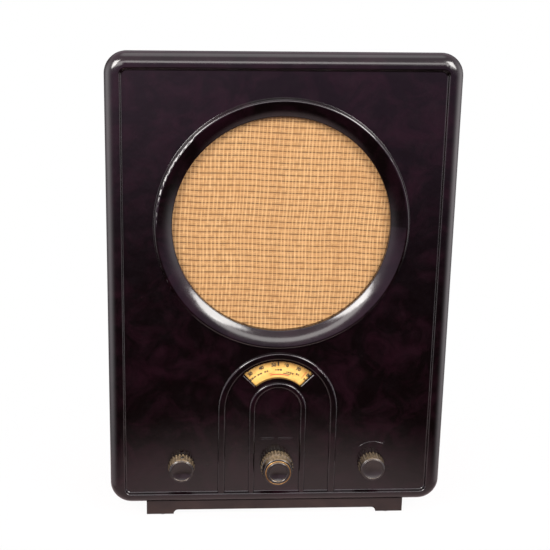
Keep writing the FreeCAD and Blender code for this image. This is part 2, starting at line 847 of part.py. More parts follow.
def gear_blank(teeth, thickness, y, z, turn_degrees):
    """A spur gear with involute teeth, thinned a little for backlash."""
    pencil = fcgear.FCWireBuilder()
    involute.CreateExternalGear(pencil, value("gear_module"), teeth, 20, True)
    wire = Part.Wire([edge.toShape() for edge in pencil.wire])
    solid = Part.Face(wire).extrude(Vector(0, 0, value(thickness)))
    solid.rotate(Vector(), Vector(0, 0, 1), turn_degrees)
    gear = doc.addObject("Part::Feature", unique("gear_blank"))
    gear.Shape = solid
    place(gear, 0, f"{y} + {thickness}", z, Rotation(Vector(1, 0, 0), 90))
    return gear


def dial_drive():
    """A pinion on the tuning spindle, and the gear and scale on the capacitor's spindle."""
    shaft = "spindle_radius + 0.02"
    wheel = gear_blank(DIMENSIONS["dial_teeth"], "gear_thick", "gear_y", "dial_z", 0)
    hub = cylinder("gear_hub", 6.5, 7, 0, "scale_y + 0.9", "dial_z")
    ways = [cylinder("gear_bore", shaft, 20, 0, 5, "dial_z")]
    for k in range(5):
        angle = math.radians(72 * k + 36)
        spot = (f"{24 * math.sin(angle):.4f}", "gear_y - 1", f"dial_z + {24 * math.cos(angle):.4f}")
        ways.append(cylinder("gear_window", 8.5, 6, *spot))
    keep(cut("dial_gear", fuse("gear_with_hub", [wheel, hub]), ways), "dial_gear")
    half_pitch = 180 / DIMENSIONS["pinion_teeth"]
    pinion = gear_blank(DIMENSIONS["pinion_teeth"], "gear_thick + 1.6", "gear_y - 0.8", "knob_z", half_pitch)
    bore = cylinder("pinion_bore", shaft, 20, 0, 4, "knob_z")
    keep(cut("tuning_pinion", pinion, [bore]), "tuning_pinion")
    keep(tube("dial_scale", "scale_radius", shaft, 0.6, 0, "scale_y", "dial_z"), "dial_scale")
    needle = block("dial_index", (-0.5, 0.5), (6.25, 6.75), ("dial_z + 36.6", "dial_z + 44.5"))
    keep(needle, "dial_index")


# ---------------------------------------------------------------- tuning capacitor


def tuning_capacitor():
    """Rotor plates on the dial spindle turn between stator plates held in a frame."""
    first = "capacitor_front + 5"
    rotor = []
    stator = []
    for k in range(DIMENSIONS["plate_count"]):
        y = f"{first} + {k} * plate_pitch"
        upper = [
            ("-rotor_radius", "dial_z", 0, "dial_z + rotor_radius"),
            (-4.4, "dial_z"),
            (4.4, "dial_z", 0, "dial_z - 4.4"),
            ("rotor_radius", "dial_z"),
        ]
        hub = (0, "dial_z", "spindle_radius + 0.02")
        rotor.append(plate("rotor_plate", upper, y, "plate_thick", [hub]))
        if k < DIMENSIONS["plate_count"] - 1:
            side = rectangle(7, 21, "dial_z - 17", "dial_z + 17")
            stator.append(plate("stator_plate", side, f"{y} + plate_pitch / 2", "plate_thick"))
    keep(group("rotor_plates", rotor), "rotor_plates")
    span = "(plate_count - 2) * plate_pitch + plate_thick + 2"
    bar_ends = (f"{first} + 0.4", f"{first} + 0.4 + {span}")
    for z in ("dial_z - 14.5", "dial_z + 14.5"):
        stator.append(block("stator_bar", (18.5, 21), bar_ends, (z, f"{z} + 2")))
    keep(fuse("stator_plates", stator), "stator_plates")
    frame = []
    for y in ("capacitor_front", "capacitor_back"):
        frame.append(block("frame_end", (-20, 24), (y, f"{y} + 1.5"), ("deck_z", "dial_z + 20")))
    ends = ("capacitor_front", "capacitor_back + 1.5")
    frame.append(block("frame_base", (-20, 24), ends, ("deck_z", "deck_z + 1.5")))
    for x in (-20, 22.5):
        frame.append(block("frame_bar", (x, x + 1.5), ends, ("dial_z + 17", "dial_z + 19")))
    bore = cylinder("frame_bore", "spindle_radius + running_gap", 60, 0, 20, "dial_z")
    keep(cut("capacitor_frame", fuse("frame_blank", frame), [bore]), "capacitor_frame")
    spindle = cylinder("dial_spindle", "spindle_radius", "capacitor_back + 4 - 7", 0, 7, "dial_z")
    keep(spindle, "dial_spindle")


# ---------------------------------------------------------------- chassis and what it carries

TUBES = {
    "detector": {"x": -44, "y": 108, "bulb": 17.5, "height": 78},
    "output": {"x": 2, "y": 112, "bulb": 20, "height": 88},
    "rectifier": {"x": 48, "y": 108, "bulb": 18.5, "height": 82},
}
TUBE_BASE_RADIUS = 16
PIN_CIRCLE = 8


def pins(name, tube_at, radius, z, length):
    """Five rods in a ring, the shape of a tube's pins or of the holes that take them."""
    rods = []
    for k in range(5):
        angle = math.radians(72 * k)
        x = f"{tube_at['x']} + {PIN_CIRCLE * math.sin(angle):.4f}"
        y = f"{tube_at['y']} + {PIN_CIRCLE * math.cos(angle):.4f}"
        rods.append(cylinder(name, radius, length, x, y, z, "z"))
    return rods


def chassis():
    """A pressed steel tray, open below, on two flanges that lie on the floor of the case."""
    half = "chassis_half"
    outer = block("tray", (f"-{half}", half), ("chassis_front", "chassis_back"), ("wall", "deck_z"))
    skin = "sheet_steel"
    inside = block(
        "tray_inside",
        (f"-{half} + {skin}", f"{half} - {skin}"),
        (f"chassis_front + {skin}", f"chassis_back - {skin}"),
        ("wall - 1", f"deck_z - {skin}"),
    )
    flanges = [
        block("flange", (half, f"{half} + flange_width"), (38, 122), ("wall", f"wall + {skin}")),
        block("flange", (f"-{half} - flange_width", f"-{half}"), (38, 122), ("wall", f"wall + {skin}")),
    ]
    holes = [cylinder("bush_hole", 5.05, 6, x, "chassis_front - 2", "knob_z") for x in KNOB_PLACES.values()]
    holes += [cylinder("socket_hole", 12, 6, t["x"], t["y"], "deck_z - 4", "z") for t in TUBES.values()]
    holes += [cylinder("flange_hole", 2.1, 6, x, y, "wall - 2", "z") for x, y in CHASSIS_SCREWS]
    holes += [cylinder("wire_hole", 4, 6, x, 86, "deck_z - 4", "z") for x in (-82, 82)]
    holes.append(cylinder("cord_hole", 4.5, 6, GLAND_X, "chassis_back - 4", TERMINAL_Z))
    tray = cut("open_tray", outer, [inside])
    keep(cut("chassis", fuse("flanged_tray", [tray] + flanges), holes), "chassis")


def chassis_screws():
    screws = []
    for x, y in CHASSIS_SCREWS:
        head = cylinder("screw_head", 4, 2, x, y, -2, "z")
        nut = cylinder("screw_nut", 3.8, 2.4, x, y, "wall + sheet_steel", "z")
        screws.append(fuse("chassis_screw", [head, nut, cylinder("screw_shank", 2, 10, x, y, -1, "z")]))
    keep(group("chassis_screws", screws), "chassis_screws")


def spindle_bushes():
    """Brass bushes in the front of the chassis, which the three knob spindles turn in."""
    bushes = []
    for x in KNOB_PLACES.values():
        barrel = cylinder("bush_barrel", 5, 5, x, "chassis_front - 1.5", "knob_z")
        collar = cylinder("bush_collar", 7.5, 1.5, x, "chassis_front - 1.5", "knob_z")
        bore = cylinder("bush_bore", "spindle_radius + running_gap", 20, x, 15, "knob_z")
        bushes.append(cut("bush", fuse("bush_blank", [barrel, collar]), [bore]))
    keep(group("spindle_bushes", bushes), "spindle_bushes")


def feedback_capacitor():
    """A small round variable capacitor in a moulded case behind the feedback spindle."""
    x = KNOB_PLACES["feedback"]
    case = cylinder("capacitor_case", 17, 14, x, 31, "knob_z")
    lugs = [block("lug", (f"{x} + {dx} - 2", f"{x} + {dx} + 2"), (36, 37), (49, 56)) for dx in (-7, 7)]
    bore = cylinder("capacitor_bore", "spindle_radius + 0.1", 30, x, 29, "knob_z")
    keep(cut("feedback_capacitor", fuse("capacitor_with_lugs", [case] + lugs), [bore]), "feedback_capacitor")


def band_switch():
    """A wafer switch: a fixed wafer with lugs round a disc that turns with the spindle."""
    x = KNOB_PLACES["band"]
    wafer = block("wafer", (f"{x} - 18", f"{x} + 18"), (38, 40), ("knob_z - 17", "knob_z + 17"))
    lugs = []
    for k in range(8):
        angle = math.radians(45 * k + 22.5)
        spot = (f"{x} + {13 * math.sin(angle):.4f}", 36, f"knob_z + {13 * math.cos(angle):.4f}")
        lugs.append(cylinder("lug", 1.1, 7, *spot))
    window = cylinder("wafer_window", 9.1, 6, x, 36, "knob_z")
    for dx in (-16, 16):
        lugs.append(block("stay", (f"{x} + {dx} - 1.5", f"{x} + {dx} + 1.5"), (26.5, 38), (47, 50)))
    solid = fuse("wafer_with_lugs", [wafer] + lugs)
    keep(cut("band_switch_wafer", solid, [window]), "band_switch_wafer")
    disc = tube("rotor_disc", 9, "spindle_radius + 0.02", 2, x, 38, "knob_z")
    keep(disc, "band_switch_rotor")


def tubes():
    sockets = []
    bases = []
    electrodes = []
    for name, item in TUBES.items():
        spot = (item["x"], item["y"])
        rest = cylinder("socket_disc", 17.5, 5, *spot, "deck_z", "z")
        sockets.append(cut("socket", rest, pins("socket_way", item, 1.3, "deck_z - 1", 8)))
        cup = cylinder("base_cup", TUBE_BASE_RADIUS, 27, *spot, "deck_z + 5", "z")
        hollow = cylinder("base_hollow", TUBE_BASE_RADIUS - 1.5, 27, *spot, "deck_z + 7", "z")
        base = cut("cup", cup, [hollow])
        bases.append(fuse("tube_base", [base] + pins("pin", item, 1.2, "deck_z - 3", 9)))
        low = 29
        neck = TUBE_BASE_RADIUS - 1.6
        bulb = item["bulb"]
        top = low + item["height"]
        middle = (low + top) / 2
        crown = top - bulb * 0.7
        glass = 0.9
        inside = to_axis(bulb - glass, crown, top - glass)
        profile = [
            (neck - glass, low),
            (neck, low),
            (neck, low + 8),
            (bulb, middle),
            (bulb, crown),
            to_axis(bulb, crown, top),
            (0, top - glass),
            (bulb - glass, crown) + inside[2:],
            (bulb - glass, middle),
            (neck - glass, low + 8),
        ]
        heights = [tuple(f"deck_z + {n}" if i % 2 else n for i, n in enumerate(p)) for p in profile]
        keep(turned(f"{name}_tube_bulb", heights, spot[0], 0, spot[1]), f"{name}_tube_bulb")
        stem = cylinder("glass_stem", 5, 20, *spot, "deck_z + 30", "z")
        plate_can = tube("anode", 8.5, 7.5, 30, *spot, "deck_z + 52", "z")
        posts = []
        for dx in (-4, 0, 4):
            posts.append(cylinder("post", 0.7, 46, item["x"] + dx, item["y"], "deck_z + 48", "z"))
        discs = [cylinder("mica", 11, 0.8, *spot, f"deck_z + {h}", "z") for h in (51.2, 82)]
        electrodes.append(fuse("electrode_set", [stem, plate_can] + posts + discs))
    keep(group("tube_sockets", sockets), "tube_sockets")
    keep(group("tube_bases", bases), "tube_bases")
    keep(group("tube_electrodes", electrodes), "tube_electrodes")


def transformer(name, x, y, width, stack, height):
    """A laminated core with two windows, and a winding on its middle leg."""
    leg = width / 6
    low = "deck_z"
    thick = (y - stack / 2, y + stack / 2)
    core = block("core", (x - width / 2, x + width / 2), thick, (low, f"{low} + {height}"))
    windows = []
    inner = (f"{low} + {leg}", f"{low} + {height - leg}")
    for side in (-1, 1):
        edges = sorted((x + side * leg, x + side * 2 * leg))
        windows.append(block("core_window", edges, (y - stack, y + stack), inner))
    keep(cut(f"{name}_core", core, windows), f"{name}_core")
    gap = 0.4
    reach = 2 * leg - gap
    coil_z = (f"{inner[0]} + {gap}", f"{inner[1]} - {gap}")
    outer = block("winding", (x - reach, x + reach), (y - stack / 2 - 8, y + stack / 2 + 8), coil_z)
    leg_x = (x - leg - gap, x + leg + gap)
    leg_y = (y - stack / 2 - gap, y + stack / 2 + gap)
    around = block("leg_way", leg_x, leg_y, ("deck_z - 1", "deck_z + 90"))
    keep(cut(f"{name}_winding", outer, [around]), f"{name}_winding")


def deck_parts():
    transformer("mains_transformer", -66, 56, 54, 30, 46)
    transformer("output_choke", 66, 56, 42, 22, 38)
    keep(block("filter_capacitor", (-26, 26), (60, 98), (24, "deck_z - sheet_steel")), "filter_capacitor")
    former = tube("coil_former", 13, 12, 52, 82, 108, "deck_z", "z")
    keep(former, "coil_former")
    rings = []
    for z, wide in ((8, 12), (26, 5), (36, 9)):
        rings.append(tube("winding_ring", 14.2, 13, wide, 82, 108, f"deck_z + {z}", "z"))
    keep(group("coil_windings", rings), "coil_windings")


def rear_terminals():
    """The socket strip, mains switch and cord gland, which show at the back."""
    bushes = []
    ways = []
    for x in SOCKET_XS:
        ways.append(cylinder("socket_way", 3.52, 12, x, "chassis_back - 1", TERMINAL_Z))
        barrel = cylinder("socket_barrel", 3.5, 9, x, 137.3, TERMINAL_Z)
        collar = cylinder("socket_collar", 4.6, 3.4, x, "cover_y - 0.1", TERMINAL_Z)
        bore = cylinder("socket_bore", 2.05, 14, x, "chassis_back - 1", TERMINAL_Z)
        bushes.append(cut("socket_bush", fuse("socket_bush_blank", [barrel, collar]), [bore]))
    strip = block("strip", (-75, -15), ("chassis_back", "cover_y - 0.1"), (22.5, 39.5))
    keep(cut("socket_strip", strip, ways), "socket_strip")
    keep(group("socket_bushes", bushes), "socket_bushes")
    box_x = (SWITCH_X - 12, SWITCH_X + 12)
    body = block("switch_box", box_x, ("chassis_back", 144.5), (TERMINAL_Z - 9, TERMINAL_Z + 9))
    collar = cylinder("switch_collar", 6, 8, SWITCH_X, 143, TERMINAL_Z)
    ring_nut = cylinder("switch_nut", 8, 1.6, SWITCH_X, "cover_y + cover_thick", TERMINAL_Z)
    way = cylinder("switch_way", 3.9, 14, SWITCH_X, 140.5, TERMINAL_Z)
    keep(cut("mains_switch", fuse("switch_blank", [body, collar, ring_nut]), [way]), "mains_switch")
    lever = turned(
        "switch_lever",
        [(0, -3), (2.4, -3), (1.5, 2), (1.9, 9.4), to_axis(1.9, 9.4, 11)],
    )
    lever.Placement = Placement(Vector(), Rotation(Vector(1, 0, 0), -10))
    bind(lever, "Placement.Base.x", SWITCH_X)
    bind(lever, "Placement.Base.y", "front_y + 144.7")
    bind(lever, "Placement.Base.z", f"base_z + {TERMINAL_Z}")
    keep(lever, "mains_switch_lever")
    sleeve = [
        (3.5, 143),
        (9, 143),
        (9, 145.9),
        (6.5, 145.9),
        (6.5, "cover_y + cover_thick + 0.1"),
        (9, "cover_y + cover_thick + 0.1"),
        (9, "cover_y + cover_thick + 2.4"),
        (6.6, "cover_y + cover_thick + 3.4"),
        (5.6, 156),
        (3.5, 156),
    ]
    keep(turned("cord_gland", sleeve, GLAND_X, TERMINAL_Z), "cord_gland")


# ---------------------------------------------------------------- assembly


def build():
    cabinet_shell()
    plinth_bar("plinth_front", "plinth_front_y")
    plinth_bar("plinth_rear", "plinth_rear_y")
    foot_studs()
    plinth_screws()
    rear_cover()
    rear_cover_screws()
    baffle_board()
    board_screws()
    speaker_cloth()
    speaker_basket()
    speaker_motor()
    speaker_moving_parts()
    chassis()
    chassis_screws()
    spindle_bushes()
    knobs()
    dial_drive()
    tuning_capacitor()
    feedback_capacitor()
    band_switch()
    tubes()
    deck_parts()
    rear_terminals()
    doc.recompute()


def check():
    """Stops if any object failed, or if a sub-part isn't a valid solid."""
    broken = [o.Name for o in doc.Objects if {"Invalid", "Error"} & set(o.State)]
    if broken:
        raise RuntimeError(f"objects that failed: {broken}")
    for obj in SUBPARTS:
        shape = obj.Shape
        if shape.isNull() or not shape.isValid() or not shape.Solids:
            raise RuntimeError(f"{obj.Label} isn't a valid solid")


def export():
    os.makedirs("parts", exist_ok=True)
    for obj in SUBPARTS:
        obj.Shape.exportStep(f"parts/{obj.Label}.step")
    print(len(SUBPARTS), "sub-parts")


build()
check()
export()
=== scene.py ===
"""A table radio in dark moulded bakelite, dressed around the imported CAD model.

The CAD nodes keep their shapes and get procedural materials. New pieces are the woven loudspeaker
cloth, the print on the dial and the raised marks on the front. Lengths are in metres, and a number
times MM is a length in millimetres.
"""

import json
import math
import random

import bmesh
import bpy
import numpy as np
from mathutils import Matrix, Vector


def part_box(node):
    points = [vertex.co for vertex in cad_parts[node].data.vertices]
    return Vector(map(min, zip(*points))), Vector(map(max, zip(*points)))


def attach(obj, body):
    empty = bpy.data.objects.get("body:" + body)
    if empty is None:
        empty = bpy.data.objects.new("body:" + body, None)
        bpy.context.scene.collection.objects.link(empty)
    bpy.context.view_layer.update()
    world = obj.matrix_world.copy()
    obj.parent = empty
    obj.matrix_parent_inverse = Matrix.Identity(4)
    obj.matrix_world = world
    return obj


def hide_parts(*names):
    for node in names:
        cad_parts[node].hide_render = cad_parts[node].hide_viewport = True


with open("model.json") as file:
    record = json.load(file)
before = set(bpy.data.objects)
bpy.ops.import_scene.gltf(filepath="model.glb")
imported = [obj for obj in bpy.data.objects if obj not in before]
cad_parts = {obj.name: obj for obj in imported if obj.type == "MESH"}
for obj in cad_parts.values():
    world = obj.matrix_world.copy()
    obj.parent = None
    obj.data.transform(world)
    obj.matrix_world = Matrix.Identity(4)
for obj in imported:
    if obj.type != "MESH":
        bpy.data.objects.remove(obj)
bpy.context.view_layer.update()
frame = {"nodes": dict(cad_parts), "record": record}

MM = 0.001
nodes = frame["nodes"]
scene = bpy.context.scene


def middle(node):
    """The middle of a CAD node's box."""
    low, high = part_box(node)
    return (low + high) / 2


# ---------------------------------------------------------------- shader helpers


def srgb(red, green, blue):
    """A linear colour from 8-bit sRGB values."""
    linear = []
    for level in (red, green, blue):
        part = level / 255
        linear.append(part / 12.92 if part <= 0.04045 else ((part + 0.055) / 1.055) ** 2.4)
    return (*linear, 1.0)


class Shader:
    """A Principled material, with short calls for the nodes that feed it."""

    def __init__(self, name, **settings):
        self.material = bpy.data.materials.new(name)
        self.material.use_nodes = True
        self.tree = self.material.node_tree
        self.surface = next(n for n in self.tree.nodes if n.type == "BSDF_PRINCIPLED")
        coordinates = self.tree.nodes.new("ShaderNodeTexCoord")
        self.place, self.normal = coordinates.outputs["Object"], coordinates.outputs["Normal"]
        for key, value in settings.items():
            self.surface.inputs[key.replace("_", " ")].default_value = value

    def node(self, kind, inputs=(), **settings):
        made = self.tree.nodes.new(kind)
        for key, value in settings.items():
            setattr(made, key, value)
        for key, value in dict(inputs).items():
            self.feed(made.inputs[key], value)
        return made

    def feed(self, socket, value):
        if isinstance(value, bpy.types.NodeSocket):
            self.tree.links.new(value, socket)
        else:
            socket.default_value = value

    def link(self, name, value):
        self.feed(self.surface.inputs[name], value)

    def stretched(self, scale=(1, 1, 1), rotation=(0, 0, 0)):
        """The place on the object, stretched along its axes."""
        inputs = {"Vector": self.place, "Scale": scale, "Rotation": rotation}
        return self.node("ShaderNodeMapping", inputs).outputs["Vector"]

    def noise(self, size, detail=3.0, rough=0.5, place=None, distortion=0.0):
        """Noise whose grains are about size across, in metres."""
        inputs = {
            "Vector": place or self.place,
            "Scale": 1 / size,
            "Detail": detail,
            "Roughness": rough,
            "Distortion": distortion,
        }
        return self.node("ShaderNodeTexNoise", inputs).outputs["Fac"]

    def cells(self, size):
        """How far it is to the nearest of some scattered points, about size apart."""
        inputs = {"Vector": self.place, "Scale": 1 / size}
        return self.node("ShaderNodeTexVoronoi", inputs).outputs["Distance"]

    def ramp(self, factor, *stops):
        """Colour along factor; stops are (position, linear colour or grey)."""
        made = self.node("ShaderNodeValToRGB", {"Fac": factor})
        elements = made.color_ramp.elements
        while len(elements) < len(stops):
            elements.new(0.5)
        for element, (position, colour) in zip(elements, stops):
            element.position = position
            element.color = colour if hasattr(colour, "__len__") else (colour, colour, colour, 1)
        return made.outputs["Color"]

    def math(self, operation, first, second):
        made = self.node("ShaderNodeMath", operation=operation)
        self.feed(made.inputs[0], first)
        self.feed(made.inputs[1], second)
        return made.outputs["Value"]

    def mix(self, factor, first, second):
        """The first colour where factor is 0 and the second where it is 1."""
        made = self.node("ShaderNodeMix", data_type="RGBA")
        colours = [socket for socket in made.inputs if socket.type == "RGBA"]
        self.feed(made.inputs["Factor"], factor)
        self.feed(colours[0], first)
        self.feed(colours[1], second)
        return next(socket for socket in made.outputs if socket.type == "RGBA")

    def span(self, factor, low, high):
        """Factor, which runs from 0 to 1, spread over low to high."""
        inputs = {"Value": factor, "To Min": low, "To Max": high}
        return self.node("ShaderNodeMapRange", inputs).outputs["Result"]

    def bumps(self, *heights):
        """Bump from (height, distance in metres) pairs, one on another."""
        normal = None
        for height, distance in heights:
            inputs = {"Height": height, "Distance": distance, "Strength": 1.0}
            made = self.node("ShaderNodeBump", inputs)
            if normal is not None:
                self.feed(made.inputs["Normal"], normal)
            normal = made.outputs["Normal"]
        self.link("Normal", normal)


# ---------------------------------------------------------------- materials


# Cream colour for dust on the knobs. It is also a painted highlight on their faces that look up.
CREAM_DUST_AND_HIGHLIGHT = srgb(176, 154, 118)


def bakelite(name, deep, cloud, fleck, gloss, worn=0.0, dust_and_highlight_share=0.0):
    """Moulded resin: clouds and flecks in a near-black body, and fine scratches.

    gloss is the middle roughness, worn adds roughness by patches, and the last argument is the share
    of cream colour on faces that look up: settled dust, and a painted highlight on those tops.
    """
    made = Shader(name, IOR=1.62)
    clouds = made.noise(0.026, 6.0, 0.66, distortion=0.8)
    grain = made.noise(0.0035, 5.0, 0.7)
    body = made.mix(made.ramp(clouds, (0.44, 0.0), (0.66, 1.0)), deep, cloud)
    spots = made.ramp(made.cells(0.0052), (0.05, 1.0), (0.13, 0.0))
    lit = made.ramp(made.noise(0.02, 2.0), (0.56, 0.0), (0.66, 1.0))
    body = made.mix(made.math("MULTIPLY", made.math("MULTIPLY", spots, lit), grain), body, fleck)
    body = made.mix(made.span(grain, 0.0, 0.1), body, fleck)
    # Painted highlight and dust: faces that look up are mixed towards the cream colour, for settled dust
    # and for the light caught on the tops of the flutes.
    if dust_and_highlight_share:
        facing = made.node("ShaderNodeSeparateXYZ", {"Vector": made.normal}).outputs["Z"]
        patchy = made.ramp(made.noise(0.0016, 3.0, 0.6), (0.35, 0.25), (0.6, 1.0))
        dust_and_highlight_mask = made.math("MULTIPLY", made.ramp(facing, (0.4, 0.0), (0.85, dust_and_highlight_share)), patchy)
        body = made.mix(dust_and_highlight_mask, body, CREAM_DUST_AND_HIGHLIGHT)
    made.link("Base Color", body)
    streaks = made.noise(0.0014, 3.0, 0.6, made.stretched((1, 1, 0.12), (0, 0.7, 0)))
    scratches = made.ramp(streaks, (0.7, 0.0), (0.78, 1.0))
    haze = made.noise(0.014, 4.0, 0.65)
    scratched = made.math("MULTIPLY", scratches, 0.07)
    rough = made.math("ADD", made.span(haze, gloss - 0.07, gloss + 0.09), scratched)
    made.link("Roughness", made.math("ADD", rough, made.span(grain, 0.0, worn)))
    made.bumps((made.noise(0.012, 2.0), 0.00008), (grain, 0.000008), (scratches, -0.000005))
    return made.material


def metal(name, colour, dark, rough, grain=(1, 1, 1), size=0.0012):
    """Plain, plated or cast metal with brushing along one axis and spots of tarnish."""
    made = Shader(name, Metallic=1.0)
    brushed = made.noise(size, 4.0, 0.6, made.stretched(grain))
    tarnish = made.noise(0.009, 5.0, 0.65, distortion=0.4)
    made.link("Base Color", made.mix(made.ramp(tarnish, (0.45, 0.0), (0.75, 1.0)), colour, dark))
    made.link("Roughness", made.span(made.mix(0.5, brushed, tarnish), rough - 0.1, rough + 0.22))
    made.bumps((brushed, 0.00003))
    return made.material


def board(name, light, dark, fibre=(1, 1, 1), size=0.0016, rough=0.78):
    """Pressed board, plywood, paper or card: fibres, blotches and a dull surface."""
    made = Shader(name)
    fibres = made.noise(size, 6.0, 0.7, made.stretched(fibre))
    blotches = made.noise(0.03, 4.0, 0.6, distortion=0.5)
    shade = made.mix(0.45, fibres, blotches)
    made.link("Base Color", made.mix(made.ramp(shade, (0.36, 0.0), (0.64, 1.0)), dark, light))
    made.link("Roughness", made.span(fibres, rough - 0.12, rough + 0.12))
    made.bumps((fibres, 0.00009), (blotches, 0.0001))
    return made.material


def compound(name, colour, dark, rough, coat=0.0, size=0.004):
    """Rubber, ceramic, laminate or paint: an even body with faint clouds and an orange-peel skin."""
    made = Shader(name)
    made.link("Coat Weight", coat)
    clouds = made.noise(size, 5.0, 0.6)
    made.link("Base Color", made.mix(made.ramp(clouds, (0.35, 0.0), (0.7, 1.0)), dark, colour))
    made.link("Roughness", made.span(clouds, rough - 0.05, rough + 0.12))
    made.bumps((made.noise(size * 0.5, 2.0), 0.00006))
    return made.material


def wound(name, colour, dark, pitch, axis):
    """Enamelled wire laid side by side: ridges across one axis."""
    made = Shader(name, Metallic=0.55)
    ridges = made.node(
        "ShaderNodeTexWave",
        {"Vector": made.place, "Scale": 0.31 / pitch, "Distortion": 0.6, "Detail": 2.0},
        bands_direction=axis,
    ).outputs["Fac"]
    made.link("Base Color", made.mix(ridges, dark, colour))
    made.link("Roughness", made.span(ridges, 0.5, 0.28))
    made.bumps((ridges, pitch * 0.4))
    return made.material


def bulb_glass(name):
    """Thin clear glass with smoky streaks from the getter inside it."""
    made = Shader(name, IOR=1.5)
    made.link("Transmission Weight", 0.92)
    smoke = made.noise(0.02, 4.0, 0.6)
    made.link("Base Color", made.ramp(smoke, (0.35, (0.5, 0.52, 0.55, 1)), (0.6, (0.93, 0.95, 0.95, 1))))
    made.link("Roughness", made.span(smoke, 0.02, 0.09))
    return made.material


def stacked(name):
    """Iron laminations: thin dark and bright sheets on edge."""
    made = Shader(name, Metallic=0.85)
    edges = made.node(
        "ShaderNodeTexWave",
        {"Vector": made.place, "Scale": 310.0, "Distortion": 0.4, "Detail": 1.0},
        bands_direction="Y",
    ).outputs["Fac"]
    rust = made.ramp(made.noise(0.006, 5.0, 0.7), (0.5, 0.0), (0.7, 1.0))
    steel = made.mix(edges, (0.03, 0.03, 0.035, 1), (0.16, 0.16, 0.17, 1))
    made.link("Base Color", made.mix(rust, steel, (0.12, 0.055, 0.03, 1)))
    made.link("Roughness", made.span(edges, 0.6, 0.38))
    made.bumps((edges, 0.00012))
    return made.material


def aged_card(name):
    """The dial's paper: warm yellow, browner towards its rim, with fibres and foxing."""
    made = Shader(name)
    centre = middle("dial_scale")
    hub = (centre.x, 0, centre.z)
    offset = made.node("ShaderNodeVectorMath", {0: made.place, 1: hub}, operation="SUBTRACT")
    across = {0: offset.outputs["Vector"], 1: (1, 0, 1)}
    flat = made.node("ShaderNodeVectorMath", across, operation="MULTIPLY")
    length = {0: flat.outputs["Vector"]}
    reach = made.node("ShaderNodeVectorMath", length, operation="LENGTH").outputs["Value"]
    blotches = made.noise(0.006, 5.0, 0.65, distortion=0.4)
    fibres = made.noise(0.0007, 4.0, 0.7)
    edge = made.node(
        "ShaderNodeMapRange",
        {"Value": reach, "From Min": 0.034, "From Max": 0.0435, "To Min": 0.0, "To Max": 0.75},
    ).outputs["Result"]
    paper = made.mix(made.ramp(blotches, (0.3, 0.0), (0.7, 1.0)), srgb(214, 162, 76), srgb(255, 216, 122))
    paper = made.mix(made.span(fibres, 0.0, 0.5), paper, srgb(190, 140, 72))
    made.link("Base Color", made.mix(edge, paper, srgb(132, 100, 48)))
    made.link("Roughness", made.span(fibres, 0.5, 0.75))
    made.bumps((fibres, 0.00003))
    return made.material


def ink(name, colour):
    """Printing ink, a little uneven where it sank into the paper."""
    made = Shader(name)
    wear = made.noise(0.0008, 4.0, 0.7)
    faded = tuple(min(1.0, level * 1.5 + 0.02) for level in colour[:3]) + (1.0,)
    made.link("Base Color", made.mix(made.ramp(wear, (0.45, 0.0), (0.7, 1.0)), colour, faded))
    made.link("Roughness", made.span(wear, 0.5, 0.8))
    return made.material


def weave(name):
    """Loudspeaker cloth: golden threads crossed by brown ones, after the cloth's own thread values."""
    made = Shader(name)
    brown = made.node("ShaderNodeAttribute", attribute_name="brown").outputs["Fac"]
    lift_and_highlight = made.node("ShaderNodeAttribute", attribute_name="lift_and_highlight").outputs["Fac"]
    across = made.noise(0.0011, 2.0, 0.5, made.stretched((1, 1, 0.12)))
    along = made.noise(0.0011, 2.0, 0.5, made.stretched((0.12, 1, 1)))
    fibres = made.noise(0.00035, 3.0, 0.7)
    stains = made.noise(0.03, 4.0, 0.6)
    gold = made.mix(made.ramp(across, (0.3, 0.0), (0.7, 1.0)), srgb(172, 130, 77), srgb(196, 157, 105))
    gold = made.mix(made.ramp(along, (0.35, 0.35), (0.7, 0.0)), gold, srgb(146, 102, 56))
    # Painted highlight: golden threads that stand over the weft are mixed towards a lighter gold, on top of
    # being raised in the mesh.
    gold = made.mix(made.math("MULTIPLY", lift_and_highlight, 0.3), gold, srgb(226, 188, 132))
    threads = made.mix(made.math("MULTIPLY", brown, made.span(fibres, 0.75, 1.15)), gold, srgb(78, 54, 26))
    threads = made.mix(made.ramp(stains, (0.3, 0.22), (0.7, 0.0)), threads, srgb(152, 102, 50))
    made.link("Base Color", threads)
    made.link("Roughness", made.span(fibres, 0.62, 0.85))
    made.surface.inputs["Sheen Weight"].default_value = 0.25
    made.surface.inputs["Sheen Roughness"].default_value = 0.4
    made.bumps((across, 0.00012), (along, 0.00012), (fibres, 0.00006))
    return made.material


CASE = bakelite(
    "case_resin",
    deep=(0.0008, 0.0002, 0.0003, 1),
    cloud=(0.0068, 0.0016, 0.0034, 1),
    fleck=(0.012, 0.006, 0.007, 1),
    gloss=0.15,
)
PLINTH = bakelite(
    "plinth_resin",
    deep=(0.006, 0.003, 0.0026, 1),
    cloud=(0.016, 0.009, 0.007, 1),
    fleck=(0.03, 0.02, 0.016, 1),
    gloss=0.22,
)
# The knobs' upward faces turn cream: dust, and a painted highlight on the flutes.
KNOB = bakelite(
    "knob_resin",
    deep=(0.002, 0.0013, 0.0012, 1),
    cloud=(0.006, 0.004, 0.0032, 1),
    fleck=(0.06, 0.045, 0.035, 1),
    gloss=0.14,
    worn=0.08,
    dust_and_highlight_share=0.5,
)
# This knob's upward faces also turn cream: dust, and a painted highlight on the flutes.
WORN_KNOB = bakelite(
    "worn_knob_resin",
    deep=(0.006, 0.004, 0.0034, 1),
    cloud=(0.012, 0.009, 0.0072, 1),
    fleck=(0.05, 0.038, 0.03, 1),
    gloss=0.24,
    worn=0.12,
    dust_and_highlight_share=0.3,
)
BLACK_INK = ink("black_ink", (0.012, 0.01, 0.01, 1))
RED_INK = ink("red_ink", srgb(178, 62, 46))
CLOTH = weave("radio_cloth")

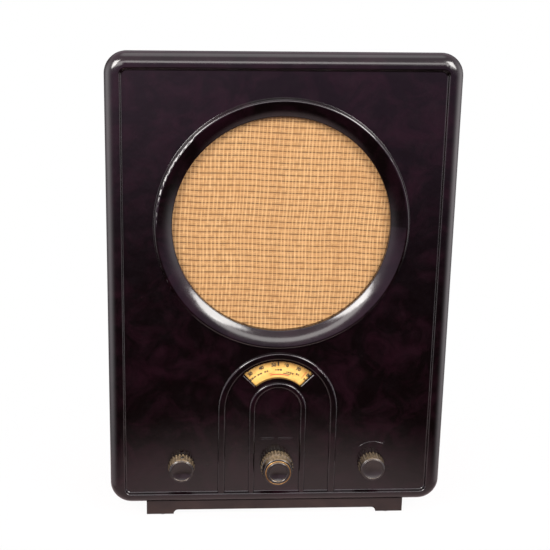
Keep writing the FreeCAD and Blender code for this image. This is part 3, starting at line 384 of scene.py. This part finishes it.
FINISHES = {
    "case_bakelite": CASE,
    "plinth_bakelite": PLINTH,
    "knob_bakelite": KNOB,
    "speaker_cloth": CLOTH,
    "pressed_board": board("pressed_board", srgb(136, 92, 56), srgb(92, 60, 36)),
    "plywood": board("plywood", srgb(196, 158, 110), srgb(150, 112, 70), (0.06, 1, 1), 0.003, 0.6),
    "paper_cone": board("paper_cone", srgb(74, 66, 58), srgb(40, 36, 32), (1, 1, 1), 0.001),
    "dial_card": aged_card("dial_card"),
    "index_enamel": compound("index_enamel", (0.012, 0.01, 0.01, 1), (0.03, 0.02, 0.02, 1), 0.3),
    "plated_steel": metal("plated_steel", (0.56, 0.57, 0.58, 1), (0.3, 0.29, 0.27, 1), 0.32),
    "bright_steel": metal("bright_steel", (0.66, 0.66, 0.66, 1), (0.34, 0.32, 0.3, 1), 0.22, (1, 0.1, 1)),
    "magnet_steel": metal("magnet_steel", (0.1, 0.1, 0.11, 1), (0.05, 0.04, 0.04, 1), 0.45),
    "brass": metal("brass", srgb(184, 148, 98), srgb(96, 70, 44), 0.3, (1, 0.2, 1), 0.001),
    "aluminium_plate": metal("aluminium_plate", (0.72, 0.73, 0.74, 1), (0.5, 0.5, 0.5, 1), 0.34),
    "glass": bulb_glass("bulb_glass"),
    "phenolic": compound("phenolic", srgb(70, 40, 24), srgb(38, 22, 14), 0.34),
    "laminations": stacked("laminations"),
    "coil_wire": wound("coil_wire", srgb(156, 78, 40), srgb(60, 26, 14), 0.0005, "Z"),
    "can_paint": compound("can_paint", srgb(96, 98, 92), srgb(66, 68, 64), 0.38, 0.3),
    "socket_ceramic": compound("socket_ceramic", srgb(226, 218, 200), srgb(196, 184, 160), 0.22, 0.6),
    "gland_rubber": compound("gland_rubber", srgb(40, 36, 34), srgb(24, 22, 22), 0.62, 0.0, 0.002),
    "foot_metal": metal("foot_metal", (0.2, 0.19, 0.18, 1), (0.1, 0.08, 0.07, 1), 0.5),
}
for part in frame["record"]["subparts"]:
    shown = nodes[part["node"]]
    shown.data.materials.clear()
    shown.data.materials.append(FINISHES[part["material_slot"]])
nodes["feedback_knob"].data.materials[0] = WORN_KNOB


# ---------------------------------------------------------------- mesh helpers


def new_piece(name, mesh_or_bm, material, body):
    """Links a mesh as a piece that rides on a CAD body."""
    mesh = mesh_or_bm
    if isinstance(mesh_or_bm, bmesh.types.BMesh):
        mesh = bpy.data.meshes.new(name)
        mesh_or_bm.to_mesh(mesh)
        mesh_or_bm.free()
    piece = bpy.data.objects.new(name, mesh)
    scene.collection.objects.link(piece)
    mesh.materials.clear()
    mesh.materials.append(material)
    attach(piece, body)
    return piece


cabinet = nodes["cabinet_shell"]
front_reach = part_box("cabinet_shell")[0].y - 0.05


def front_surface(x, z):
    """Where the case's front is, in y, at a place seen from the front."""
    found, spot, _, _ = cabinet.ray_cast(Vector((x, front_reach, z)), Vector((0, 1, 0)))
    if not found:
        raise ValueError(f"no case front at {x:.4f}, {z:.4f}")
    return spot.y


def arc(centre, radius, start, stop, steps=24):
    """Points on an arc; angles are in degrees, clockwise from straight up."""
    turns = [math.radians(start + (stop - start) * k / steps) for k in range(steps + 1)]
    return [(centre[0] + radius * math.sin(t), centre[1] + radius * math.cos(t)) for t in turns]


def raised_rib(bm, path, width, height):
    """A moulded rib with a rounded top and tapered ends, along (x, z) points on the case's front."""
    across = 8
    sunk = 0.0001
    rows = []
    count = len(path)
    for k, (x, z) in enumerate(path):
        before, after = path[max(k - 1, 0)], path[min(k + 1, count - 1)]
        along = Vector((after[0] - before[0], after[1] - before[1])).normalized()
        side = Vector((along.y, -along.x))
        share = k / (count - 1)
        fade = min(1.0, 0.25 + 6 * share, 0.25 + 6 * (1 - share))
        base = front_surface(x, z)
        row = []
        for j in range(across + 1):
            turn = math.pi * j / across
            out = -math.cos(turn) * width / 2 * fade
            up = math.sin(turn) * height * fade
            y = base + sunk - up - sunk * math.sin(turn)
            row.append(bm.verts.new((x + side.x * out, y, z + side.y * out)))
        rows.append(row)
    for first, second in zip(rows, rows[1:]):
        for j in range(across):
            bm.faces.new((first[j], first[j + 1], second[j + 1], second[j]))
        bm.faces.new((first[across], first[0], second[0], second[across]))
    bm.faces.new(rows[0][::-1])
    bm.faces.new(rows[-1])


def straight(start, stop, steps=6):
    """Points on a straight line."""
    return [
        (start[0] + (stop[0] - start[0]) * k / steps, start[1] + (stop[1] - start[1]) * k / steps)
        for k in range(steps + 1)
    ]


def front_mark(bm, name):
    """Makes ribs a piece of the case: faces point outwards and are smooth up to sharp edges."""
    bmesh.ops.recalc_face_normals(bm, faces=bm.faces)
    for face in bm.faces:
        face.smooth = True
    piece = new_piece(name, bm, CASE, "case")
    piece.data.set_sharp_from_angle(angle=math.radians(42))


# ---------------------------------------------------------------- raised marks on the front


def fine_lines():
    """Two fine broken lines between the dial window and the tuning knob."""
    centre = middle("dial_scale")
    bm = bmesh.new()
    for drop in (25.2, 26.5):
        z = centre.z - drop * MM
        for start, stop in ((-13.5, -2.0), (0.5, 13.0)):
            raised_rib(bm, straight((start * MM, z), (stop * MM, z), 10), 0.5 * MM, 0.22 * MM)
    front_mark(bm, "front_fine_lines")


def knob_marks():
    """An arc with an arrow head over the right knob, and short bars beside the left one."""
    right, left = middle("feedback_knob"), middle("band_knob")
    spot = (right.x + 1.0 * MM, right.z + 3.0 * MM)
    swing_end = 34
    barb = 3.2 * MM
    bm = bmesh.new()
    swing = arc(spot, 16.9 * MM, -46, swing_end, 30)
    raised_rib(bm, swing, 1.0 * MM, 0.5 * MM)
    tip = swing[-1]
    for turn in (-128, -176):
        angle = math.radians(turn + swing_end + 90)
        back = (tip[0] + barb * math.sin(angle), tip[1] + barb * math.cos(angle))
        raised_rib(bm, straight(tip, back, 5), 0.8 * MM, 0.4 * MM)
    front_mark(bm, "feedback_arrow")
    bm = bmesh.new()
    for offset, half in ((-20.0, 2.0), (19.0, 1.1), (21.4, 1.1)):
        x = left.x + offset * MM
        raised_rib(bm, straight((x, left.z - half * MM), (x, left.z + half * MM)), 0.8 * MM, 0.3 * MM)
    front_mark(bm, "band_marks")


fine_lines()
knob_marks()


# ---------------------------------------------------------------- print on the dial


def dial_print():
    """Numbers, ticks, bars and a red arc on the face of the dial card, turning with it."""
    centre = middle("dial_scale")
    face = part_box("dial_scale")[0].y
    thick = 0.03 * MM
    hub = (centre.x, centre.z)
    tick_radius, number_radius = 39.9 * MM, 36.9 * MM
    red_radius, red_width = 28.7 * MM, 0.8 * MM
    step = 16.2  # degrees from one number to the next
    first = -5.8 - 5 * step
    numbers_shown = 11
    ticks_per_number = 5

    def flat_band(bm, radius, width, start, stop, steps=12):
        """A thin printed band along an arc."""
        rings = [arc(hub, radius + side * width / 2, start, stop, steps) for side in (-1, 1)]
        front = [[bm.verts.new((x, face - thick, z)) for x, z in ring] for ring in rings]
        back = [[bm.verts.new((x, face + thick, z)) for x, z in ring] for ring in rings]
        for k in range(steps):
            bm.faces.new((front[0][k], front[0][k + 1], front[1][k + 1], front[1][k]))
            bm.faces.new((back[0][k], back[1][k], back[1][k + 1], back[0][k + 1]))
            bm.faces.new((front[0][k], back[0][k], back[0][k + 1], front[0][k + 1]))
            bm.faces.new((front[1][k], front[1][k + 1], back[1][k + 1], back[1][k]))
        for k in (0, steps):
            bm.faces.new((front[0][k], front[1][k], back[1][k], back[0][k]))

    black = bmesh.new()
    for k in range((numbers_shown - 1) * ticks_per_number + 1):
        turn = first + k * step / ticks_per_number
        long_tick = k % ticks_per_number == 0
        half = math.degrees(0.16 * MM / (39.5 * MM)) * (2.0 if long_tick else 1.3)
        flat_band(black, tick_radius, (1.9 if long_tick else 1.2) * MM, turn - half, turn + half, 2)
    rng = random.Random(11)
    for k in range(-9, 10):
        start = k * 14.5 - 4 + rng.uniform(-2, 2)
        radius = rng.choice((32.6, 31.4)) * MM
        for _ in range(rng.randint(2, 4)):
            length = rng.uniform(1.3, 3.2)
            flat_band(black, radius, rng.uniform(1.2, 1.7) * MM, start, start + length, 3)
            start += length + rng.uniform(0.8, 1.3)
    for start, stop, radius in ((8.0, 20.0, 29.9), (-98.0, -84.0, 29.9), (92.0, 104.0, 29.9)):
        flat_band(black, radius * MM, 0.7 * MM, start, stop)
    bmesh.ops.recalc_face_normals(black, faces=black.faces)
    new_piece("dial_ticks", black, BLACK_INK, "dial_rotor")

    red = bmesh.new()
    flat_band(red, red_radius, red_width, -13, 18.5, 16)
    flat_band(red, 30.0 * MM, 0.45 * MM, -15, -9, 5)
    for turn, low, high in ((37.5, 31.0, 38.5), (-74.0, 29.0, 37.0), (112.0, 29.0, 37.0)):
        flat_band(red, (low + high) / 2 * MM, (high - low) * MM, turn - 0.35, turn + 0.35, 2)
    for k in range(5):
        start = 27.5 + 2.6 * k
        flat_band(red, (26.2 + 0.9 * (k % 2)) * MM, 0.5 * MM, start, start + 1.5, 2)
    flat_band(red, red_radius, red_width, 62, 88, 14)
    flat_band(red, red_radius, red_width, -96, -66, 14)
    bmesh.ops.recalc_face_normals(red, faces=red.faces)
    new_piece("dial_red_marks", red, RED_INK, "dial_rotor")

    numbers = bmesh.new()
    for k in range(numbers_shown):
        turn = math.radians(first + k * step)
        words = bpy.data.curves.new("dial_number", "FONT")
        words.body = str(k * 10)
        words.size = 3.9 * MM
        words.extrude = thick
        words.offset = 0.2 * MM
        words.align_x = "CENTER"
        words.align_y = "CENTER"
        holder = bpy.data.objects.new("dial_number", words)
        x, z = hub[0] + number_radius * math.sin(turn), hub[1] + number_radius * math.cos(turn)
        holder.location = (x, face, z)
        holder.rotation_euler = (math.pi / 2, turn, 0)
        scene.collection.objects.link(holder)
        bpy.context.view_layer.update()
        shape = bpy.data.meshes.new_from_object(holder.evaluated_get(bpy.context.evaluated_depsgraph_get()))
        shape.transform(holder.matrix_world)
        numbers.from_mesh(shape)
        bpy.data.objects.remove(holder)
        bpy.data.meshes.remove(shape)
    bmesh.ops.remove_doubles(numbers, verts=numbers.verts, dist=1e-7)
    new_piece("dial_numbers", numbers, BLACK_INK, "dial_rotor")


dial_print()


# ---------------------------------------------------------------- loudspeaker cloth


def speaker_cloth():
    """A flat-stretched woven disc: rows of brown weft, broken where golden warp threads pass over."""
    low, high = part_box("speaker_cloth")
    centre = (low + high) / 2
    inside_disc = 0.5 * MM
    radius = (high.x - low.x) / 2 - inside_disc
    cell_x, cell_z = 0.5 * MM, 0.4 * MM
    columns, rows = int(radius / cell_x) + 1, int(radius / cell_z) + 1
    xs = np.arange(-columns, columns + 1) * cell_x
    zs = np.arange(-rows, rows + 1) * cell_z
    x, z = np.meshgrid(xs, zs)
    reach = np.hypot(x, z)
    kept = np.hypot(x[:-1, :-1] + cell_x / 2, z[:-1, :-1] + cell_z / 2) < radius

    # The outermost points are moved onto the rim, so that the disc's edge is round.
    over = np.maximum(reach / radius, 1e-9)
    near_rim = reach > radius - 0.45 * MM
    x = np.where(near_rim, x / over, x)
    z = np.where(near_rim, z / over, z)

    rng = np.random.RandomState(5)

    def wander(place, size, spread):
        """A slow smooth wave with random phases, spread wide."""
        phases = rng.uniform(0, 2 * np.pi, 5)
        lengths = size * rng.uniform(0.6, 1.8, 5)
        return spread * sum(np.sin(2 * np.pi * place / s + p) for s, p in zip(lengths, phases)) / 2.5

    tilt = math.radians(1.8)
    along = x * math.cos(tilt) - z * math.sin(tilt)
    up = z * math.cos(tilt) + x * math.sin(tilt)
    up = up + wander(along, 60 * MM, 0.4 * MM) + wander(along, 17 * MM, 0.12 * MM)
    along = along + wander(up, 80 * MM, 0.5 * MM)

    pitch = 4.7 * MM  # from one brown row to the next
    row = np.floor(up / pitch)
    from_row = np.abs(up / pitch - row - 0.5) * pitch
    brown = np.clip((0.78 * MM - from_row) / (0.4 * MM), 0, 1)
    faint = np.clip((0.55 * MM - np.abs(from_row - pitch / 3)) / (0.35 * MM), 0, 1)

    spots = [-radius - 3 * MM]  # where golden threads run up and down
    while spots[-1] < radius + 3 * MM:
        spots.append(spots[-1] + rng.uniform(2.5, 3.5) * MM)
    spots = np.array(spots)
    widths = rng.uniform(0.3, 0.55, len(spots)) * MM
    through = rng.uniform(0, 1, len(spots)) < 0.3
    patterns = 64  # more than the rows of the disc, so none repeats
    passes = rng.uniform(0, 1, (len(spots), patterns)) < 0.7
    strength = rng.uniform(0.25, 0.6, (len(spots), patterns))
    nearest = np.clip(np.searchsorted((spots[1:] + spots[:-1]) / 2, along), 0, len(spots) - 1)
    from_spot = np.abs(along - spots[nearest])
    warp = np.clip((widths[nearest] + 0.3 * MM - from_spot) / (0.4 * MM), 0, 1)
    row_index = (row - row.min()).astype(int) % patterns
    crosses = through[nearest] | passes[nearest, row_index]
    brown = brown * (1 - np.where(crosses, warp, 0.25 * warp) * 0.6)
    brown = np.maximum(brown, faint * (1 - warp) * strength[nearest, row_index])
    # How high each golden thread stands over the weft. It raises the cloth's surface, and in the material
    # it also drives a painted highlight.
    lift_and_highlight = np.where(crosses, warp, warp * 0.35)

    thread = 1.2 * MM
    weave_height = np.sin(2 * np.pi * along / thread) * np.sin(2 * np.pi * up / thread)
    height = 0.035 * MM * weave_height + 0.09 * MM * lift_and_highlight - 0.07 * MM * brown
    y = centre.y - height

    points = np.stack([x + centre.x, y, z + centre.z], axis=-1).reshape(-1, 3)
    number = np.arange(x.size).reshape(x.shape)
    corner = [number[:-1, :-1], number[:-1, 1:], number[1:, 1:], number[1:, :-1]]
    faces = np.stack([c[kept] for c in corner], axis=-1)
    used, faces = np.unique(faces, return_inverse=True)
    faces = faces.reshape(-1, 4)
    mesh = bpy.data.meshes.new("radio_cloth")
    mesh.from_pydata(points[used].tolist(), [], faces.tolist())
    for name, values in (("brown", brown), ("lift_and_highlight", lift_and_highlight)):
        layer = mesh.attributes.new(name, "FLOAT", "POINT")
        layer.data.foreach_set("value", values.reshape(-1)[used].astype(np.float32))
    mesh.polygons.foreach_set("use_smooth", [True] * len(mesh.polygons))
    mesh.update()
    piece = new_piece("radio_cloth", mesh, CLOTH, "case")
    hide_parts("speaker_cloth")


speaker_cloth()


# ---------------------------------------------------------------- camera, floor and light


def camera():
    """The eye is above the radio's top and a little to the left, and looks down at its front."""
    yaw, pitch, roll = math.radians(3.3007), math.radians(15.548), math.radians(0.725)
    ahead = Vector((math.sin(yaw) * math.cos(pitch), math.cos(yaw) * math.cos(pitch), -math.sin(pitch)))
    side = Vector((math.cos(yaw), -math.sin(yaw), 0))
    top = side.cross(ahead)
    right = side * math.cos(roll) + top * math.sin(roll)
    up = top * math.cos(roll) - side * math.sin(roll)
    data = bpy.data.cameras.new("camera")
    data.lens = 76.72
    data.shift_x = 0.0723
    data.sensor_width = 36.0
    data.clip_start, data.clip_end = 0.05, 50.0
    eye = bpy.data.objects.new("camera", data)
    place = Matrix((right, up, -ahead)).transposed().to_4x4()
    place.translation = Vector((-0.0879, -0.9618, 0.4596))
    eye.matrix_world = place
    scene.collection.objects.link(eye)
    scene.camera = eye


def floor():
    """A pale floor that fades out a little way from the radio.

    It is nearly clear to the camera, where the white surround shows through it, and half clear to
    light and reflections.
    """
    bm = bmesh.new()
    bmesh.ops.create_circle(bm, cap_ends=True, segments=96, radius=1.6)
    mesh = bpy.data.meshes.new("floor")
    bm.to_mesh(mesh)
    bm.free()
    ground = bpy.data.objects.new("floor", mesh)
    scene.collection.objects.link(ground)
    made = Shader("floor_paper")
    made.link("Base Color", (0.86, 0.7, 0.7, 1))
    made.link("Roughness", 0.9)
    made.surface.inputs["Specular IOR Level"].default_value = 0.1
    reach = made.node("ShaderNodeVectorMath", {0: made.place}, operation="LENGTH").outputs["Value"]
    edge = made.node(
        "ShaderNodeMapRange",
        {"Value": reach, "From Min": 0.1, "From Max": 0.31, "To Min": 1.0, "To Max": 0.0},
        interpolation_type="SMOOTHSTEP",
    ).outputs["Result"]
    seen = made.node("ShaderNodeLightPath").outputs["Is Camera Ray"]
    made.link("Alpha", made.math("MULTIPLY", edge, made.span(seen, 0.5, 0.05)))
    mesh.materials.append(made.material)


# The studio's colours, as linear light.
BELOW = (0.02, 0.012, 0.012, 1)
AHEAD = (0.3, 0.19, 0.3, 1)
AHEAD_LEFT = (0.52, 0.35, 0.5, 1)
CEILING = (0.8, 0.66, 0.74, 1)
OVERHEAD = (2.0, 1.9, 1.95, 1)
BACKDROP = (0.21, 0.19, 0.2, 1)
SIDES = (2.2, 2.05, 2.12, 1)
LAMP = (1.0, 0.97, 0.94)
LAMP_AIM = Vector((0, 0, 0.2))


def surround():
    """White to the camera, and a studio to light and reflections: bright beside, dimmer ahead."""
    world = bpy.data.worlds.new("surround")
    world.use_nodes = True
    tree = world.node_tree
    tree.nodes.clear()

    def value(socket, entry):
        if isinstance(entry, bpy.types.NodeSocket):
            tree.links.new(entry, socket)
        else:
            socket.default_value = entry

    def step(source, low, high):
        """0 below low, 1 above high and smooth between."""
        made = tree.nodes.new("ShaderNodeMapRange")
        made.interpolation_type = "SMOOTHSTEP"
        for name, entry in (("Value", source), ("From Min", low), ("From Max", high)):
            value(made.inputs[name], entry)
        return made.outputs["Result"]

    def combine(operation, first, second=0.0):
        made = tree.nodes.new("ShaderNodeMath")
        made.operation = operation
        value(made.inputs[0], first)
        value(made.inputs[1], second)
        return made.outputs["Value"]

    def blend(factor, first, second):
        made = tree.nodes.new("ShaderNodeMix")
        made.data_type = "RGBA"
        colours = [socket for socket in made.inputs if socket.type == "RGBA"]
        value(made.inputs["Factor"], factor)
        value(colours[0], first)
        value(colours[1], second)
        return next(socket for socket in made.outputs if socket.type == "RGBA")

    place = tree.nodes.new("ShaderNodeTexCoord")
    split = tree.nodes.new("ShaderNodeSeparateXYZ")
    tree.links.new(place.outputs["Generated"], split.inputs[0])
    across, deep, height = split.outputs
    leftwards = step(combine("MULTIPLY", across, -1.0), -0.12, 0.06)
    front = blend(step(height, -0.29, -0.07), BELOW, blend(leftwards, AHEAD, AHEAD_LEFT))
    room = blend(step(height, 0.1, 0.45), front, CEILING)
    room = blend(step(height, 0.9, 0.99), room, OVERHEAD)
    downwards = combine("MULTIPLY", height, -1.0)
    behind = combine("MULTIPLY", step(deep, 0.1, 0.4), step(downwards, -0.6, -0.35))
    room = blend(behind, room, BACKDROP)
    beside = combine("POWER", combine("ABSOLUTE", across), 7.0)
    room = blend(combine("MULTIPLY", beside, step(height, -0.6, -0.3)), room, SIDES)
    studio = tree.nodes.new("ShaderNodeBackground")
    studio.inputs["Strength"].default_value = 1.0
    tree.links.new(room, studio.inputs["Color"])
    white = tree.nodes.new("ShaderNodeBackground")
    white.inputs["Color"].default_value = (1, 1, 1, 1)
    path = tree.nodes.new("ShaderNodeLightPath")
    mix = tree.nodes.new("ShaderNodeMixShader")
    tree.links.new(path.outputs["Is Camera Ray"], mix.inputs[0])
    tree.links.new(studio.outputs[0], mix.inputs[1])
    tree.links.new(white.outputs[0], mix.inputs[2])
    output = tree.nodes.new("ShaderNodeOutputWorld")
    tree.links.new(mix.outputs[0], output.inputs[0])
    scene.world = world


def softbox(name, place, size, power):
    """A rectangular lamp that faces the middle of the radio."""
    data = bpy.data.lights.new(name, "AREA")
    data.shape = "RECTANGLE"
    data.size, data.size_y = size
    data.energy = power
    data.color = LAMP
    lamp = bpy.data.objects.new(name, data)
    lamp.location = place
    lamp.rotation_euler = (LAMP_AIM - Vector(place)).to_track_quat("-Z", "Y").to_euler()
    scene.collection.objects.link(lamp)


camera()
floor()
surround()
softbox("front_left", (-1.15, -1.25, 1.15), (0.8, 0.8), 34)
softbox("front_right", (1.15, -1.25, 1.15), (0.8, 0.8), 30)
softbox("front_strip", (0, -1.6, 0.88), (2.2, 0.45), 12)

scene.view_settings.view_transform = "Standard"
scene.view_settings.look = "None"
